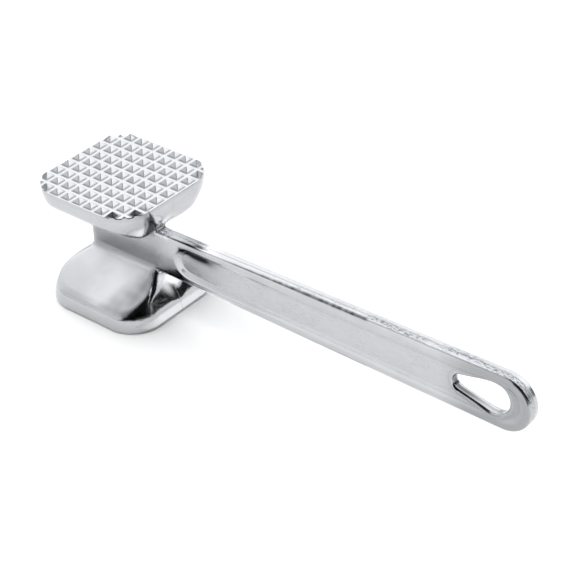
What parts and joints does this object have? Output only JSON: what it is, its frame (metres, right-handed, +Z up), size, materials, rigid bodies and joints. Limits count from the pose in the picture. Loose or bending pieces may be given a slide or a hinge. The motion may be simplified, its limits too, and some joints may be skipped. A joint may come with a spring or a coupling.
{
  "type": "meat mallet",
  "caption": "Solid metal meat mallet: a square head with rounded corners, one toothed face and one smooth face, on a flat handle with a hang hole.",
  "frame": {"origin": "centre of the smooth striking face, on which the mallet stands", "axes": "+Z up through the head to the toothed face, +X along the handle towards the hang hole, +Y to the left of the handle"},
  "size_m": [0.212, 0.0522, 0.0548],
  "materials": {
    "toothed_face": "bright, cast teeth",
    "head": "polished, with fine brushing",
    "handle": "polished casting with a trimmed flash line"
  },
  "bodies": {
    "root": {"toothed_face": "toothed_face", "upper_head": "head", "waist": "head", "lower_head": "head", "smooth_face": "head", "handle_grip": "handle", "hang_eye": "handle"}
  },
  "joints": []
}
